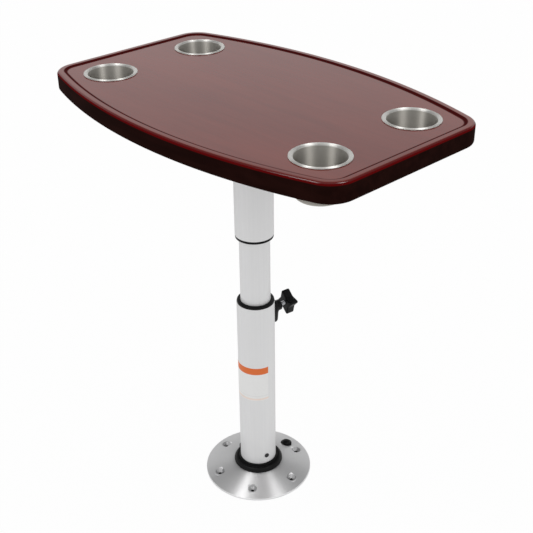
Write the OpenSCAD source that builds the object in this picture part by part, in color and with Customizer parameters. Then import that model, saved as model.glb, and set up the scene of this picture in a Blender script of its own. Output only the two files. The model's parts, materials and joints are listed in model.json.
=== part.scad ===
// Camper table on a single telescopic pole, with four drink holders in its top.
// The origin is the centre of the base on the floor. X runs along the top, Y across it, Z up.

/* [Table top] */
// Length of the top from end to end
top_length = 661; // [630:1:800]
// Width of the top across its middle
top_width = 428; // [400:1:560]
// How far each long side bows out past the ends
side_bow = 59; // [20:1:80]
// Radius of the four corners in plan
corner_radius = 45; // [40:1:60]
// Thickness of the top at its field
top_thickness = 30; // [24:1:40]
// Height of the raised lip above the field
lip_height = 2.3; // [1:0.1:4]
// Width of the flat band along the lip
lip_width = 12.5; // [8:0.5:16]
// Width of the curve that falls from the lip to the field
lip_slope = 6; // [3:0.5:8]
// Radius of the rounded outer edges
edge_round = 5; // [2:0.5:8]

/* [Drink holders] */
// Distance of a holder's centre from the end of the top
cup_end_inset = 85.7; // [75:0.1:140]
// Distance of a holder's centre from the crown of the long side
cup_side_inset = 116.7; // [105:0.1:140]
// Outer diameter of the holder's flange
cup_flange_d = 90; // [86:0.5:100]
// Inner diameter at the mouth
cup_mouth_d = 76.8; // [66:0.1:78]
// How much the radius narrows from mouth to bottom
cup_taper = 2; // [0.5:0.1:8]
// Depth from the rim to the underside
cup_depth = 62; // [40:1:80]
// Sheet thickness of the holder
cup_gauge = 0.8; // [0.5:0.1:1.2]
// Thickness of the rolled edge of the flange
cup_bead = 1.7; // [1.5:0.1:3]
// Inside radius between wall and bottom
cup_bottom_round = 5; // [3:0.5:12]

/* [Pole] */
// Outer diameter of the fixed leg tube
leg_d = 68; // [64:0.5:76]
// Wall of the leg tube
leg_wall = 2.5; // [1.5:0.1:3.5]
// Length of the leg tube
leg_length = 369; // [320:1:480]
// Outer diameter of the sliding mast tube
mast_d = 53.8; // [48:0.1:56]
// Wall of the mast tube
mast_wall = 2.2; // [1.5:0.1:4]
// Length of the mast tube
mast_length = 503; // [440:1:540]
// Length of bare mast between leg and sleeve
mast_show = 125.7; // [90:0.1:160]
// Outer diameter of the cover sleeve
sleeve_d = 67.4; // [64:0.1:76]
// Wall of the cover sleeve
sleeve_wall = 2.2; // [1.5:0.1:3.5]
// Length of the cover sleeve
sleeve_length = 212; // [160:1:280]
// Height of the collar's lip on top of the leg
collar_lip = 4.5; // [4:0.5:12]
// Length of the collar's guide inside the leg
collar_guide = 60; // [54:1:90]
// Height of the black ring under the sleeve
ring_lip = 4.8; // [2:0.1:8]
// Length of the ring's spigot inside the sleeve
ring_spigot = 22; // [10:1:40]
// Height of the sliding bush at the foot of the mast
bush_height = 28; // [15:1:40]

/* [Table bracket] */
// Diameter of the bracket's plate
bracket_d = 164; // [140:1:200]
// Thickness of the bracket's plate
bracket_plate = 6; // [4:0.5:10]
// Depth of the hub and of the ring around the sleeve
bracket_hub = 34; // [20:1:50]
// Number of stiffening ribs
bracket_ribs = 6; // [4:1:8]
// Diameter of the circle of wood screws
bracket_screw_circle = 140; // [124:1:140]
// Diameter of a wood screw
wood_screw_d = 4.4; // [3.5:0.1:5.5]

/* [Base] */
// Diameter of the base flange
flange_d = 203.2; // [196:0.2:240]
// Height of the dome where it meets the bushing
flange_rise = 18.5; // [16:0.5:22]
// Height of the flange's outer edge
flange_edge = 4; // [3.5:0.5:6]
// Wall of the flange
flange_wall = 3; // [2.5:0.5:3.5]
// Diameter of the circle of floor screws
bolt_circle_d = 160.8; // [154:0.2:168]
// Number of floor screws
bolt_count = 6; // [4:1:6]
// Diameter of a floor screw's hole
bolt_hole_d = 5.5; // [4:0.1:6.5]
// Diameter of a floor screw's countersink
bolt_head_d = 17.5; // [10:0.5:18]
// Bearing of the first floor screw, in degrees from X
bolt_angle = 9.1; // [0:0.1:20]
// Width of the black bushing's lip past the leg
bushing_lip = 12.5; // [12:0.5:15]
// Height of the bushing above the floor
bushing_top = 31.8; // [30:0.1:40]
// Depth of the foot plug's lip under the leg tube
foot_lip = 10.7; // [9:0.1:14]
// Length of the foot plug inside the leg tube
foot_spigot = 48; // [44:1:70]
// Height of the small screws that hold the foot plug
foot_screw_z = 48.7; // [42:0.1:56]
// Diameter of a foot screw
foot_screw_d = 4.6; // [3:0.1:5]

/* [Release button] */
// Bearing of the button, in degrees from X
button_angle = 88; // [80:0.5:96]
// Distance of the button from the pole's axis
button_reach = 73.5; // [72:0.1:76]
// Diameter of the button
button_d = 21.6; // [20:0.2:22]
// Height of the button's top above the floor
button_top = 19.5; // [18.5:0.1:24]
// How far the button goes down
button_travel = 3; // [2.4:0.1:3]
// Width of the latch bolt
bolt_w = 8; // [6:0.5:10]
// Thickness of the latch bolt
bolt_h = 3.5; // [3:0.1:3.6]
// How far the bolt reaches into the foot plug
bolt_bite = 2.5; // [1.5:0.1:2.6]

/* [Clamp] */
// Bearing of the clamp, in degrees from X
clamp_angle = 83; // [60:1:120]
// Depth of the clamp's axis below the top of the leg tube
clamp_drop = 29; // [26:0.5:40]
// Diameter of the clamp stud
stud_d = 8; // [6:0.5:9]
// Radius of the saddle around the stud
saddle_r = 15; // [13:0.5:18]
// Thickness of the saddle on the tube
saddle_wall = 10; // [7:0.5:12]
// Length of the saddle's tail below the stud
saddle_tail = 19; // [16:0.5:36]
// Radius of the tail's rounded end
tail_end = 12; // [4:0.5:13]
// Diameter of the boss
boss_d = 19.5; // [19:0.5:26]
// Distance of the boss's face from the pole's axis
boss_reach = 53; // [48:0.5:60]
// Gap of bare stud between boss and knob
stud_show = 10.5; // [6:0.5:18]
// Thickness of the knob
knob_depth = 16; // [12:0.5:24]
// Diameter over the knob's arms
knob_d = 45; // [38:0.5:60]
// Width of a knob arm's rounded tip
arm_w = 6; // [4:0.5:9]
// Diameter across the hollows between the knob's arms
knob_waist = 27; // [22:0.5:32]

/* [Label] */
// Height of the label's top edge
label_top = 256; // [200:1:300]
// Height of the label
label_height = 73; // [40:1:100]
// Bearing of the label's right edge
label_start = -185; // [-190:1:-120]
// Angle that the label covers
label_sweep = 180; // [90:1:220]

/* [Fits] */
// Gap between parts that slide or turn in each other
slide_fit = 0.05; // [0.03:0.01:0.1]
// Gap between moving parts that must not touch
free_gap = 0.3; // [0.2:0.05:0.4]
// Gap between parts that are pushed together once
press_gap = 0.05; // [0:0.01:0.1]

/* [Hidden] */
$fn = 96;
eps = 0.01;

leg_r = leg_d / 2;
leg_bore = leg_r - leg_wall;
mast_r = mast_d / 2;
mast_bore = mast_r - mast_wall;
sleeve_r = sleeve_d / 2;
sleeve_bore = sleeve_r - sleeve_wall;

// Heights, from the floor up
socket_floor = 1.3;
leg_foot = socket_floor + foot_lip;
leg_top = leg_foot + leg_length;
collar_top = leg_top + collar_lip;
ring_foot = collar_top + mast_show;
sleeve_foot = ring_foot + ring_lip;
sleeve_top = sleeve_foot + sleeve_length;
top_under = sleeve_top + bracket_plate;
field_z = top_under + top_thickness;
lip_z = field_z + lip_height;
mast_foot = sleeve_top - mast_length;
clamp_z = leg_top - clamp_drop;

// Plan of the top: bowed long sides, straight ends and round corners
half_l = top_length / 2;
half_w = top_width / 2;
side_r = (half_l * half_l + side_bow * side_bow) / (2 * side_bow);
side_y = half_w - side_r;
corner_x = half_l - corner_radius;
corner_y = side_y + sqrt(pow(side_r - corner_radius, 2) - pow(corner_x, 2));
corner_a = atan2(corner_y - side_y, corner_x);
corner_steps = 14;
side_steps = 30;

cup_x = half_l - cup_end_inset;
cup_y = half_w - cup_side_inset;
cup_rim_z = field_z + cup_bead;
cup_foot_z = cup_rim_z - cup_depth;
cup_mouth_r = cup_mouth_d / 2;
cup_base_r = cup_mouth_r - cup_taper;
cup_bend = 2;
cup_hole_r = cup_mouth_r + cup_gauge + 0.7;

// Bracket under the top, and the wood screws that hold it
bracket_r = bracket_d / 2;
rib_t = 4;
hub_ring_t = 4;
wood_screw_count = 6;
wood_screw_depth = 16;
wood_point = 3;
wood_head_h = 3;
wood_slot = 1.2;

// Foot of the mast: the neck that the bush turns on and the plug's flange
neck_r = mast_bore - 2.5;
plug_flange_r = leg_bore - 2.5;
plug_flange_t = 4;
plug_spigot = 26;

// Base: a domed flange, the bushing in its hub and the ring that holds it there
flange_r = flange_d / 2;
bushing_r = leg_r + bushing_lip;
socket_wall = 8;
socket_r = leg_r + slide_fit + socket_wall;
hub_wall = 4.8;
hub_foot = 1.8;
foot_rim = flange_r - 8;
dome_power = 1.3;
dome_steps = 12;
bolt_r = bolt_circle_d / 2;
screw_boss_wall = 1.5;
ring_z = 0.6;
ring_t = 0.9;
ring_w = 4.4;
ring_groove_r = socket_r - 1.6;
ring_gap = 0.1;

// Button, its spring, and the bolt that its slanted blade pushes outward
button_r = button_d / 2;
button_slope = (dome(button_reach - 5) - dome(button_reach + 5)) / 10;
button_rim = 2.4;
button_dome_h = 4.4;
blade_t = 4;
blade_w = 5;
bolt_z = 2.6;
bolt_mid_z = bolt_z + bolt_h / 2;
bolt_nose = leg_r - free_gap - bolt_bite;
blade_x = button_reach - 5;
blade_foot = bolt_z + 1;
blade_knee = bolt_z + bolt_h + button_travel + 0.1;
head_w = 13;
head_reach = 6.5;
head_start = blade_x - head_reach;
head_end = blade_x + head_reach;
seat_z = bolt_z + bolt_h + free_gap;
seat_t = 0.8;
seat_top = seat_z + seat_t;
cap_roof = seat_top + 6.3;
spring_r = 7;
spring_wire = 0.45;
spring_turns = 3;
skirt_in = spring_r + spring_wire + 1.1;
skirt_foot = dome(button_reach) - 2.2;
guide_foot_z = 0.6;
guide_w = 22;
guide_start = socket_r + hub_wall + 1;
guide_end = button_reach + 12;
guide_screw_x = socket_r + hub_wall + 6;
guide_screw_y = 8;
guide_screw_r = 1.2;
guide_head_h = 1.3;
guide_head_r = 2.7;

// Clamp, from the pad on the mast out to the knob
stud_r = stud_d / 2;
knob_in = boss_reach + stud_show;
knob_out = knob_in + knob_depth;
knob_grip = knob_depth - 4;
arm_turn = -18;
hollow_r = 6;
pad_r = stud_r + 2;
pad_t = 4.6;
pad_back = mast_r + pad_t;
nipple_r = 2.5;
nipple_bite = 2.3;
insert_r = pad_r + 1.5;
insert_head_r = insert_r + 2.5;
insert_in = mast_r + 2.4;
insert_out = boss_reach - 4.5;
thread_in = pad_back + 6.5;
label_t = 0.15;

// Points on an arc of radius r about c, from angle a to angle b in n steps
function arc(c, r, a, b, n) =
    [for (i = [0:n]) [c[0] + r * cos(a + (b - a) * i / n), c[1] + r * sin(a + (b - a) * i / n)]];

// Height of the flange's upper face at distance r from the axis
function dome(r) = flange_rise - (flange_rise - flange_edge)
    * pow(max(0, r - bushing_r) / (flange_r - bushing_r), dome_power);

// Places a child on the bearing a, with X pointing away from the pole
module bearing(a) {
    rotate([0, 0, a]) children();
}

// Turns a shape that stands on Z so that it points away from the pole at height z
module outward(a, z) {
    rotate([0, 0, a]) translate([0, 0, z]) rotate([0, 90, 0]) children();
}

module tube(r_out, r_in, z, h) {
    translate([0, 0, z]) difference() {
        cylinder(r = r_out, h = h);
        translate([0, 0, -1]) cylinder(r = r_in, h = h + 2);
    }
}

// One ring of the top's plan, moved inward by u: two corners and half a side at a time
function plan_ring(u) =
    let (corner = arc([corner_x, corner_y], corner_radius - u, 0, corner_a, corner_steps),
        side = arc([0, side_y], side_r - u, corner_a, 180 - corner_a, side_steps),
        half = concat(corner, [for (i = [1:side_steps - 1]) side[i]],
            [for (i = [corner_steps:-1:0]) [-corner[i][0], corner[i][1]]]))
    concat(half, [for (i = [len(half) - 1:-1:0]) [half[i][0], -half[i][1]]]);

// Section of the top's edge as [distance inward, height], from the underside to the field
function rim_section() =
    let (low = arc([edge_round, top_under + edge_round], edge_round, -90, -180, 5),
        high = arc([edge_round, lip_z - edge_round], edge_round, 180, 90, 6),
        steps = 7)
    concat(low, high, [for (i = [0:steps]) let (t = i / steps)
        [lip_width + lip_slope * t, lip_z - lip_height * t * t * (3 - 2 * t)]]);

// The top before it is drilled: the edge's section carried round the plan
module top_body() {
    section = rim_section();
    rings = [for (s = section) plan_ring(s[0])];
    n = len(rings[0]);
    m = len(section);
    points = [for (k = [0:m - 1], p = rings[k]) [p[0], p[1], section[k][1]]];
    wall = [for (k = [0:m - 2], i = [0:n - 1]) let (j = (i + 1) % n)
        [k * n + i, (k + 1) * n + i, (k + 1) * n + j, k * n + j]];
    polyhedron(points, concat([[for (i = [0:n - 1]) i]], wall,
        [[for (i = [n - 1:-1:0]) (m - 1) * n + i]]));
}

module table_top() {
    color([0.48, 0.35, 0.32]) difference() {
        top_body();
        for (x = [-cup_x, cup_x], y = [-cup_y, cup_y])
            translate([x, y, top_under - 1]) cylinder(r = cup_hole_r, h = top_thickness + 2);
        bracket_holes(top_under - 1, wood_screw_depth + 1.5);
    }
}

// Section of a pressed drink holder, from the middle of its bottom round to the rim and back
module cup_section() {
    floor_c = [cup_base_r - cup_bottom_round, cup_foot_z + cup_gauge + cup_bottom_round];
    bend_c = [cup_mouth_r + cup_bend, cup_rim_z - cup_bend];
    bead_r = cup_bead / 2;
    bead_c = [cup_flange_d / 2 - bead_r, cup_rim_z - bead_r];
    lean = atan2(cup_taper, cup_depth - cup_bottom_round - cup_bend);
    outside = concat([[0, cup_foot_z]],
        arc(floor_c, cup_bottom_round + cup_gauge, -90, -lean, 8),
        arc(bend_c, cup_bend - cup_gauge, 180 - lean, 90, 5));
    bead = arc(bead_c, bead_r, -130, 90, 10);
    inside = concat(arc(bend_c, cup_bend, 90, 180 - lean, 5),
        arc(floor_c, cup_bottom_round, -lean, -90, 8),
        [[0, cup_foot_z + cup_gauge]]);
    polygon(concat(outside, bead, inside));
}

module cup_holder(x, y) {
    color([0.78, 0.77, 0.75]) translate([x, y, 0]) rotate_extrude($fn = 144) cup_section();
}
module cup_holder_1() { cup_holder(-cup_x, -cup_y); }
module cup_holder_2() { cup_holder(-cup_x, cup_y); }
module cup_holder_3() { cup_holder(cup_x, cup_y); }
module cup_holder_4() { cup_holder(cup_x, -cup_y); }

// Places of the wood screws between bracket and top
module bracket_screw_places() {
    for (i = [0:wood_screw_count - 1])
        rotate([0, 0, (i + 0.5) * 360 / wood_screw_count])
            translate([bracket_screw_circle / 2, 0, 0]) children();
}

module bracket_holes(z, h) {
    bracket_screw_places() translate([0, 0, z])
        cylinder(r = wood_screw_d / 2 + press_gap, h = h);
}

// Cast bracket: a hub inside the sleeve, a ring outside it, and ribs out to the plate's edge
module table_bracket() {
    ring_in = sleeve_r + press_gap;
    ring_out = ring_in + hub_ring_t;
    rib_end = bracket_r - 8;
    color([0.62, 0.63, 0.64]) difference() {
        union() {
            translate([0, 0, sleeve_top]) cylinder(r = bracket_r, h = bracket_plate);
            translate([0, 0, sleeve_top - bracket_hub])
                cylinder(r = sleeve_bore - press_gap, h = bracket_hub + 1);
            tube(ring_out, ring_in, sleeve_top - bracket_hub * 0.6, bracket_hub * 0.6 + eps);
            for (i = [0:bracket_ribs - 1]) rotate([0, 0, i * 360 / bracket_ribs])
                translate([0, rib_t / 2, 0]) rotate([90, 0, 0]) linear_extrude(rib_t)
                    polygon([[ring_out - 1, sleeve_top + 1], [rib_end, sleeve_top + 1],
                        [rib_end, sleeve_top - 1.5],
                        [ring_out - 1, sleeve_top - bracket_hub * 0.55]]);
        }
        translate([0, 0, sleeve_top - bracket_hub - 1])
            cylinder(r = mast_r + press_gap, h = bracket_hub + 1);
        bracket_holes(sleeve_top - 1, bracket_plate + 2);
        edge_chamfer(bracket_r, sleeve_top, 2);
    }
}

// Ring that cuts a chamfer c on the lower outer edge of a disc of radius r at height z
module edge_chamfer(r, z, c) {
    rotate_extrude() polygon([[r - c, z - eps], [r + 1, z - eps], [r + 1, z + c + 1], [r, z + c],
        [r - c, z]]);
}

// Two crossed slots of width w and depth h, reaching r each way
module cross_slot(r, w, z, h) {
    translate([-r, -w / 2, z]) cube([2 * r, w, h]);
    translate([-w / 2, -r, z]) cube([w, 2 * r, h]);
}

module bracket_screws() {
    color([0.7, 0.7, 0.72]) bracket_screw_places() {
        translate([0, 0, sleeve_top - wood_head_h]) difference() {
            union() {
                cylinder(r1 = wood_screw_d * 0.8, r2 = wood_screw_d, h = 1);
                translate([0, 0, 1]) cylinder(r = wood_screw_d, h = wood_head_h - 1);
            }
            cross_slot(wood_screw_d, wood_slot, -eps, 1.4);
        }
        translate([0, 0, sleeve_top])
            cylinder(r = wood_screw_d / 2, h = bracket_plate + wood_screw_depth - wood_point);
        translate([0, 0, top_under + wood_screw_depth - wood_point])
            cylinder(r1 = wood_screw_d / 2, r2 = 0.4, h = wood_point);
    }
}

module upper_sleeve() {
    color([0.84, 0.84, 0.85]) tube(sleeve_r, sleeve_bore, sleeve_foot, sleeve_length);
}

// Black end ring: a lip under the sleeve and a spigot inside it, around the mast
module sleeve_ring() {
    in_r = mast_r + press_gap;
    lip_r = sleeve_r - 0.4;
    color([0.06, 0.06, 0.06]) rotate_extrude() polygon([[in_r, ring_foot + 0.6],
        [in_r + 0.6, ring_foot], [lip_r - 0.8, ring_foot], [lip_r, ring_foot + 0.8],
        [lip_r, sleeve_foot], [sleeve_bore - press_gap, sleeve_foot],
        [sleeve_bore - press_gap, sleeve_foot + ring_spigot - 1],
        [sleeve_bore - 1, sleeve_foot + ring_spigot], [in_r, sleeve_foot + ring_spigot]]);
}

module middle_tube() {
    color([0.86, 0.86, 0.87]) tube(mast_r, mast_bore, mast_foot, mast_length);
}

// Sliding bush that carries the foot of the mast in the leg, with grooves that let air past
module guide_bush() {
    top = mast_foot - free_gap;
    foot = top - bush_height;
    out_r = leg_bore - slide_fit;
    in_r = neck_r + slide_fit;
    color([0.9, 0.9, 0.88]) difference() {
        rotate_extrude() polygon([[in_r, foot], [out_r - 1, foot], [out_r, foot + 1],
            [out_r, top - 1], [out_r - 1, top], [in_r, top]]);
        for (i = [0:5]) rotate([0, 0, i * 60]) translate([out_r - 1.2, -2, foot - 1])
            cube([3, 4, bush_height + 2]);
    }
}

// Plug in the foot of the mast: spigot, neck that the bush turns on, and a flange under it
module mast_plug() {
    flange_top = mast_foot - bush_height - 2 * free_gap;
    flange_foot = flange_top - plug_flange_t;
    spigot_r = mast_bore - press_gap;
    spigot_top = mast_foot + plug_spigot;
    color([0.2, 0.2, 0.2]) difference() {
        rotate_extrude() polygon([[0, flange_foot], [plug_flange_r - 1, flange_foot],
            [plug_flange_r, flange_foot + 1], [plug_flange_r, flange_top], [neck_r, flange_top],
            [neck_r, mast_foot], [spigot_r, mast_foot], [spigot_r, spigot_top - 1],
            [spigot_r - 1, spigot_top], [0, spigot_top]]);
        translate([0, 0, flange_foot - 1])
            cylinder(r = neck_r - 5, h = spigot_top - flange_foot + 2);
    }
}

module lower_tube() {
    color([0.85, 0.85, 0.86]) difference() {
        tube(leg_r, leg_bore, leg_foot, leg_length);
        outward(clamp_angle, clamp_z) translate([0, 0, leg_bore - 6])
            cylinder(r = insert_r + 0.1, h = leg_wall + 12);
        foot_screw_places() cylinder(r = foot_screw_d / 2 + press_gap, h = leg_r + 5);
    }
}

// Black collar: a chamfered lip on top of the leg and a long guide inside it
module collar() {
    in_r = mast_r + slide_fit;
    guide_r = leg_bore - press_gap;
    lip_r = leg_r - 0.5;
    guide_foot = leg_top - collar_guide;
    color([0.06, 0.06, 0.06]) difference() {
        rotate_extrude() polygon([[in_r, guide_foot + 0.8], [in_r + 0.8, guide_foot],
            [guide_r - 0.6, guide_foot], [guide_r, guide_foot + 0.6], [guide_r, leg_top],
            [lip_r, leg_top], [lip_r, collar_top - 2.2], [lip_r - 0.6, collar_top - 0.9],
            [lip_r - 1.6, collar_top - 0.3], [lip_r - 3, collar_top], [in_r + 0.8, collar_top],
            [in_r, collar_top - 0.8]]);
        outward(clamp_angle, clamp_z) translate([0, 0, mast_r - 6])
            cylinder(r = insert_head_r + 0.4, h = 20);
    }
}

// Teardrop outline of the saddle, with its tail pointing along +X
module teardrop(r, tail, tip_r) {
    lean = 90 - asin((r - tip_r) / tail);
    polygon(concat(arc([tail, 0], tip_r, -lean, lean, 8), arc([0, 0], r, lean, 360 - lean, 28)));
}

// Saddle on the outside of the leg: a teardrop plate that hugs the tube and a round boss
module clamp_saddle() {
    face_r = leg_r + saddle_wall;
    bore_r = insert_r + press_gap;
    color([0.08, 0.08, 0.08]) difference() {
        union() {
            intersection() {
                outward(clamp_angle, clamp_z)
                    linear_extrude(face_r + 5) teardrop(saddle_r, saddle_tail, tail_end);
                translate([0, 0, clamp_z - saddle_tail - saddle_r])
                    cylinder(r = face_r, h = saddle_tail + 3 * saddle_r);
            }
            outward(clamp_angle, clamp_z) {
                translate([0, 0, leg_r]) cylinder(r = boss_d / 2, h = boss_reach - 1 - leg_r);
                translate([0, 0, boss_reach - 1])
                    cylinder(r1 = boss_d / 2, r2 = boss_d / 2 - 1, h = 1);
            }
        }
        translate([0, 0, clamp_z - 2 * saddle_tail])
            cylinder(r = leg_r, h = 4 * saddle_tail);
        outward(clamp_angle, clamp_z) {
            cylinder(r = bore_r, h = insert_out + press_gap);
            cylinder(r = stud_r + 0.5, h = boss_reach + 5);
        }
    }
}

// Threaded bush: its head bears on the inside of the tube and its shank fills the boss
module clamp_insert() {
    color([0.72, 0.6, 0.35]) difference() {
        union() {
            intersection() {
                outward(clamp_angle, clamp_z) translate([0, 0, insert_in])
                    cylinder(r = insert_head_r, h = leg_bore - mast_r);
                translate([0, 0, clamp_z - 20]) cylinder(r = leg_bore, h = 40);
            }
            outward(clamp_angle, clamp_z) translate([0, 0, insert_in])
                cylinder(r = insert_r, h = insert_out - insert_in);
        }
        outward(clamp_angle, clamp_z) {
            cylinder(r = pad_r + free_gap, h = thread_in);
            cylinder(r = stud_r + slide_fit, h = boss_reach + 5);
        }
    }
}

// Pad that presses on the mast: its face is hollowed to the mast's curve
module clamp_pad() {
    color([0.85, 0.85, 0.82]) difference() {
        outward(clamp_angle, clamp_z) translate([0, 0, mast_r - 2])
            cylinder(r = pad_r, h = pad_back - mast_r + 2);
        translate([0, 0, clamp_z - 20]) cylinder(r = mast_r + free_gap, h = 40);
        outward(clamp_angle, clamp_z) translate([0, 0, pad_back - nipple_bite - free_gap])
            cylinder(r = nipple_r + slide_fit, h = 5);
    }
}

module clamp_stud() {
    shoulder = pad_back + free_gap;
    stud_chamfer = 0.8;
    color([0.75, 0.76, 0.78]) outward(clamp_angle, clamp_z) {
        translate([0, 0, pad_back - nipple_bite])
            cylinder(r = nipple_r, h = shoulder - pad_back + nipple_bite);
        translate([0, 0, shoulder]) cylinder(r1 = stud_r - stud_chamfer, r2 = stud_r, h = stud_chamfer);
        translate([0, 0, shoulder + stud_chamfer])
            cylinder(r = stud_r, h = knob_in + knob_grip - shoulder - stud_chamfer);
    }
}

// Outline of the four-armed knob: round tips, straight flanks and round hollows between them
module knob_outline() {
    tip_r = arm_w / 2;
    reach = knob_d / 2 - tip_r;
    hollow_reach = knob_waist / 2 + hollow_r;
    apart = hollow_reach * [cos(45), sin(45)] - [reach, 0];
    swing = atan2(apart[1], apart[0]) - acos((tip_r + hollow_r) / norm(apart));
    polygon([for (i = [0:3]) let (a = i * 90 + arm_turn, b = a + 45) each concat(
        arc(reach * [cos(a), sin(a)], tip_r, a - swing, a + swing, 8),
        arc(hollow_reach * [cos(b), sin(b)], hollow_r, a + swing + 180, a - swing + 270, 6))]);
}

module clamp_knob() {
    round_r = 1.5;
    r = knob_d / 2;
    color([0.07, 0.07, 0.07]) outward(clamp_angle, clamp_z) difference() {
        intersection() {
            translate([0, 0, knob_in]) linear_extrude(knob_depth) knob_outline();
            rotate_extrude() polygon(concat([[0, knob_in]],
                arc([r - round_r, knob_in + round_r], round_r, -90, 0, 5),
                arc([r - round_r, knob_out - round_r], round_r, 0, 90, 5),
                [[0, knob_out]]));
        }
        cylinder(r = stud_r + press_gap, h = knob_in + knob_grip + press_gap);
    }
}

// Turned plug in the foot of the leg, with a pocket in its lip for the latch bolt
module foot_plug() {
    lip_r = leg_r - free_gap;
    spigot_r = leg_bore - press_gap;
    bore_r = leg_bore - 4.5;
    top = leg_foot + foot_spigot;
    color([0.6, 0.61, 0.62]) difference() {
        rotate_extrude() polygon([[bore_r, socket_floor], [lip_r - 1, socket_floor],
            [lip_r, socket_floor + 0.6], [lip_r, leg_foot], [spigot_r, leg_foot],
            [spigot_r, top - 1], [spigot_r - 1, top], [bore_r, top]]);
        bearing(button_angle)
            translate([bolt_nose - 0.4, -bolt_w / 2 - free_gap, bolt_z - free_gap])
                cube([10, bolt_w + 2 * free_gap, bolt_h + 2 * free_gap]);
        foot_screw_places() cylinder(r = foot_screw_d / 2 + press_gap, h = leg_r + 5);
    }
}

// Three small screws through the leg tube into the foot plug
module foot_screw_places() {
    for (i = [0:2]) outward(120 * i - 14, foot_screw_z) children();
}

module foot_screws() {
    head_r = foot_screw_d * 0.95;
    color([0.35, 0.35, 0.36]) foot_screw_places() {
        translate([0, 0, leg_r - 6]) cylinder(r = foot_screw_d / 2, h = 6.4);
        translate([0, 0, leg_r + 0.05]) difference() {
            union() {
                cylinder(r = head_r, h = 1.2);
                translate([0, 0, 1.2]) cylinder(r1 = head_r, r2 = head_r * 0.6, h = 0.8);
            }
            cross_slot(head_r, 1, 1.1, 2);
        }
    }
}

// Thin sticker round part of the leg
module tube_label() {
    color([0.93, 0.93, 0.93]) rotate([0, 0, label_start])
        translate([0, 0, label_top - label_height])
            rotate_extrude(angle = label_sweep) translate([leg_r + press_gap, 0])
                square([label_t, label_height]);
}

// Domed casting with a rim foot, a hub for the bushing and a boss under each floor screw
module base_flange() {
    hub_r = socket_r + hub_wall;
    outer = [for (i = [0:dome_steps]) let (r = flange_r - 1 - (flange_r - 1 - bushing_r) * i / dome_steps)
        [r, dome(r)]];
    inner = [for (i = [0:dome_steps]) let (r = hub_r + (foot_rim - hub_r) * i / dome_steps)
        [r, dome(r) - flange_wall]];
    post_z = seat_top + free_gap;
    color([0.8, 0.8, 0.81]) difference() {
        union() {
            rotate_extrude() polygon(concat([[foot_rim, 0], [flange_r - 0.4, 0], [flange_r, 0.4],
                [flange_r, dome(flange_r) - 1], [flange_r - 0.3, dome(flange_r) - 0.3]],
                outer, [[socket_r, flange_rise], [socket_r, hub_foot], [hub_r, hub_foot]],
                inner));
            bolt_places() cylinder(r = bolt_head_d / 2 + screw_boss_wall, h = dome(bolt_r) - 1.5);
            guide_screw_places() translate([0, 0, post_z])
                cylinder(r = 3.5, h = dome(guide_screw_x) - flange_wall / 2 - post_z);
        }
        bolt_places() {
            translate([0, 0, -1]) cylinder(r = bolt_hole_d / 2, h = flange_rise);
            translate([0, 0, dome(bolt_r) - (bolt_head_d - bolt_hole_d) / 2])
                cylinder(r1 = bolt_hole_d / 2, r2 = bolt_head_d / 2 + 2,
                    h = (bolt_head_d - bolt_hole_d) / 2 + 2);
        }
        bearing(button_angle) {
            translate([button_reach, 0, 0]) cylinder(r = button_r + free_gap, h = flange_rise);
            translate([leg_r, -bolt_w / 2 - free_gap, hub_foot - 1])
                cube([hub_r + 1 - leg_r, bolt_w + 2 * free_gap, seat_z - hub_foot + 1]);
        }
        guide_screw_places()
            cylinder(r = guide_screw_r + press_gap, h = dome(guide_screw_x) - flange_wall);
    }
}

module bolt_places() {
    for (i = [0:bolt_count - 1])
        rotate([0, 0, bolt_angle + i * 360 / bolt_count]) translate([bolt_r, 0, 0]) children();
}

// Black socket that the leg plugs into: stepped lip above the flange, spigot through it
module base_bushing() {
    in_r = leg_r + slide_fit;
    out_r = socket_r - press_gap;
    rim_r = leg_r + 2.6;
    crown_r = bushing_r - 6;
    crown_rise = 8.5;
    crown_z = flange_rise + crown_rise;
    groove_z = crown_z - crown_rise / 10;
    floor_r = leg_bore - 6;
    color([0.07, 0.07, 0.07]) difference() {
        rotate_extrude() polygon([[floor_r, 0.4], [out_r, 0.4], [out_r, ring_z - ring_gap],
            [ring_groove_r, ring_z - ring_gap], [ring_groove_r, ring_z + ring_t + ring_gap],
            [out_r, ring_z + ring_t + ring_gap], [out_r, flange_rise],
            [bushing_r - 0.8, flange_rise], [bushing_r, flange_rise + 1],
            [bushing_r, flange_rise + 2], [bushing_r - 0.7, flange_rise + 3.8],
            [bushing_r - 2.2, flange_rise + 6.2], [crown_r + 1.6, crown_z - 0.6],
            [crown_r, crown_z], [crown_r - 1.4, crown_z - 0.2], [rim_r + 1.6, groove_z],
            [rim_r + 0.4, groove_z + 0.2], [rim_r, groove_z + 0.8],
            [rim_r - 0.2, bushing_top - 1], [rim_r - 0.9, bushing_top - 0.2],
            [in_r + 0.9, bushing_top], [in_r, bushing_top - 0.6], [in_r, socket_floor],
            [floor_r, socket_floor]]);
        bearing(button_angle) translate([leg_r - 2, -bolt_w / 2 - free_gap, bolt_z - free_gap])
            cube([bushing_lip + 6, bolt_w + 2 * free_gap, bolt_h + 2 * free_gap]);
    }
}

// Snap ring in the bushing's groove, under the flange's hub
module retaining_ring() {
    color([0.5, 0.5, 0.52]) rotate([0, 0, button_angle + 15]) translate([0, 0, ring_z])
        rotate_extrude(angle = 330) translate([ring_groove_r + ring_gap, 0])
            square([ring_w, ring_t]);
}

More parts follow.
